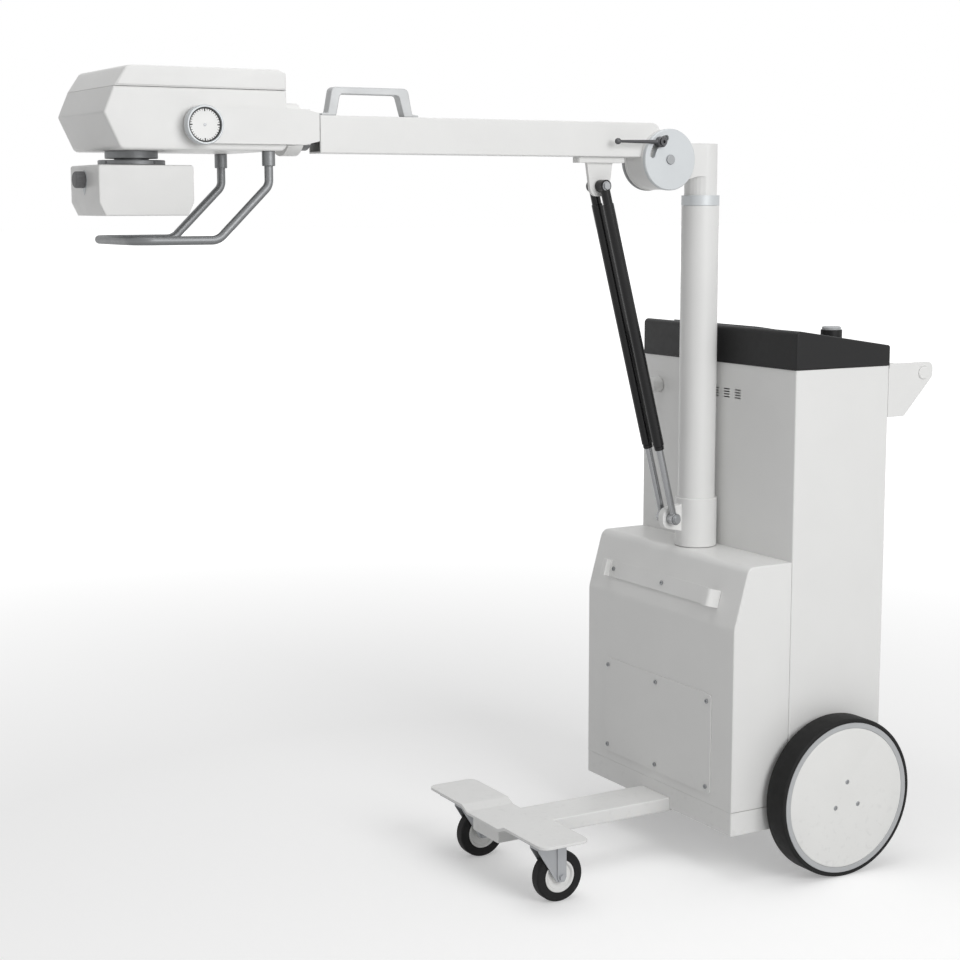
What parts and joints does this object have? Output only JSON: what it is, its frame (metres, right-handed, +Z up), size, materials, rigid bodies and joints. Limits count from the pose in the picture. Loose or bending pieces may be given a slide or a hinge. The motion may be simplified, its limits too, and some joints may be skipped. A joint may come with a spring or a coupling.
{
  "type": "mobile x-ray machine",
  "caption": "Wheeled column stand with a swivelling lift arm on gas springs, a yoke-mounted tube head, a turning collimator and a rear control cabinet",
  "frame": {"origin": "on the floor under the middle of the overall box", "axes": "+Z up, -Y towards the tube head, +Y towards the push handle, +X towards the side with the tilt dial and the clamp lever"},
  "size_m": [0.6564, 1.7006, 1.567],
  "materials": {
    "white_paint": "powder coated, satin",
    "white_shell": "moulded, fine satin",
    "white_plastic": "moulded, satin",
    "grey_plastic": "moulded, satin",
    "black_plastic": "moulded, fine grain",
    "dark_panel": "printed film, half gloss",
    "black_enamel": "gloss enamel",
    "black_rubber": "matt rubber",
    "zinc_steel": "zinc plated",
    "bright_steel": "hard chromed and ground",
    "dark_steel": "blackened",
    "machined_aluminium": "turned, satin",
    "unit_aluminium": "cast, plain",
    "dial_white": "printed dial",
    "clear_window": "clear sheet"
  },
  "bodies": {
    "chassis": {"base_pan": "white_paint", "front_cover": "white_paint", "cover_screws": "zinc_steel", "service_panel": "white_paint", "hook_bar": "white_paint", "rear_cabinet": "white_paint", "hanger_peg": "white_paint", "console_lid": "black_plastic", "console_plate": "dark_panel", "handle_plates": "white_paint", "push_handle": "white_paint", "base_bar": "white_paint", "front_plate": "white_paint", "caster_plates": "zinc_steel", "rear_axle": "dark_steel", "column_post": "bright_steel", "generator_unit": "unit_aluminium"},
    "button": {"stop_button": "grey_plastic"},
    "caster_swivel_left": {"caster_fork_left": "zinc_steel"},
    "caster_wheel_left": {"caster_tyre_left": "black_rubber", "caster_hub_left": "white_plastic"},
    "caster_swivel_right": {"caster_fork_right": "zinc_steel"},
    "caster_wheel_right": {"caster_tyre_right": "black_rubber", "caster_hub_right": "white_plastic"},
    "rear_wheel_left": {"rear_tyre_left": "black_rubber", "rear_rim_left": "grey_plastic", "rear_cap_left": "white_plastic"},
    "rear_wheel_right": {"rear_tyre_right": "black_rubber", "rear_rim_right": "grey_plastic", "rear_cap_right": "white_plastic"},
    "column": {"column_tube": "white_paint", "column_collar": "white_paint", "column_ring": "machined_aluminium", "swivel_head": "white_paint", "slotted_disc": "machined_aluminium", "far_disc": "machined_aluminium", "column_bolts": "dark_steel"},
    "arm": {"arm_tube": "white_paint", "strut_bracket": "white_paint", "carry_handle": "machined_aluminium", "arm_flange": "machined_aluminium", "clamp_bolt": "dark_steel"},
    "lever": {"clamp_lever": "dark_steel"},
    "strut_rods": {"strut_rod_left": "bright_steel", "strut_rod_right": "bright_steel"},
    "strut_cylinders": {"strut_cylinder_left": "black_enamel", "strut_cylinder_right": "black_enamel"},
    "head_yoke": {"yoke": "white_paint", "dial_ring": "machined_aluminium"},
    "tube_head": {"head_lower_shell": "white_shell", "head_upper_shell": "white_shell", "tube_unit": "unit_aluminium", "dial_face": "dial_white", "steering_loop": "machined_aluminium", "head_flange": "machined_aluminium"},
    "collimator": {"collimator_flange": "machined_aluminium", "collimator_case": "white_paint", "exit_window": "clear_window"},
    "knob": {"collimator_knob": "black_plastic"}
  },
  "joints": [
    {"name": "column_turn", "type": "hinge", "parent": "chassis", "child": "column", "pos_m": [0, 0.45115, 0.7], "axis": [0, 0, 1], "range_deg": [-90, 90]},
    {"name": "arm_lift", "type": "hinge", "parent": "column", "child": "arm", "pos_m": [0, 0.34625, 1.426], "axis": [-1, 0, 0], "range_deg": [-38, 22]},
    {"name": "clamp_turn", "type": "hinge", "parent": "arm", "child": "lever", "pos_m": [0, 0.31978, 1.45988], "axis": [1, 0, 0], "range_deg": [-60, 60]},
    {"name": "strut_swing", "type": "hinge", "parent": "column", "child": "strut_rods", "pos_m": [0, 0.38175, 0.702], "axis": [1, 0, 0], "range_deg": [-2, 1.2]},
    {"name": "strut_slide", "type": "slide", "parent": "strut_rods", "child": "strut_cylinders", "axis": [0, -0.2539, 0.9672], "range_m": [-0.0955, 0.0555]},
    {"name": "head_roll", "type": "hinge", "parent": "arm", "child": "head_yoke", "pos_m": [0, -0.44245, 1.4715], "axis": [0, -1, 0], "range_deg": [-90, 90]},
    {"name": "head_tilt", "type": "hinge", "parent": "head_yoke", "child": "tube_head", "pos_m": [0, -0.66975, 1.4715], "axis": [1, 0, 0], "range_deg": [-100, 60]},
    {"name": "collimator_turn", "type": "hinge", "parent": "tube_head", "child": "collimator", "pos_m": [0, -0.74795, 1.41], "axis": [0, 0, -1], "range_deg": [-90, 90]},
    {"name": "knob_turn", "type": "hinge", "parent": "collimator", "child": "knob", "pos_m": [0, -0.83, 1.382], "axis": [0, -1, 0], "range_deg": [-150, 150]},
    {"name": "caster_turn_left", "type": "hinge", "parent": "chassis", "child": "caster_swivel_left", "pos_m": [0.15, -0.00975, 0.12], "axis": [0, 0, 1], "continuous": true},
    {"name": "caster_roll_left", "type": "hinge", "parent": "caster_swivel_left", "child": "caster_wheel_left", "pos_m": [0.15, 0.02125, 0.051], "axis": [1, 0, 0], "continuous": true},
    {"name": "caster_turn_right", "type": "hinge", "parent": "chassis", "child": "caster_swivel_right", "pos_m": [-0.15, -0.00975, 0.12], "axis": [0, 0, 1], "continuous": true},
    {"name": "caster_roll_right", "type": "hinge", "parent": "caster_swivel_right", "child": "caster_wheel_right", "pos_m": [-0.15, 0.02125, 0.051], "axis": [1, 0, 0], "continuous": true},
    {"name": "wheel_roll_left", "type": "hinge", "parent": "chassis", "child": "rear_wheel_left", "pos_m": [0.3, 0.59375, 0.1625], "axis": [1, 0, 0], "continuous": true},
    {"name": "wheel_roll_right", "type": "hinge", "parent": "chassis", "child": "rear_wheel_right", "pos_m": [-0.3, 0.59375, 0.1625], "axis": [1, 0, 0], "continuous": true},
    {"name": "button_press", "type": "slide", "parent": "chassis", "child": "button", "axis": [0, 0, -1], "range_m": [0, 0.004], "stiffness_N_per_m": 600, "springref_m": -0.002}
  ],
  "couplings": [
    {"joint": "strut_swing", "follows": "arm_lift", "ratio": 0.05},
    {"joint": "strut_slide", "follows": "arm_lift", "m_per_rad": 0.1432}
  ]
}
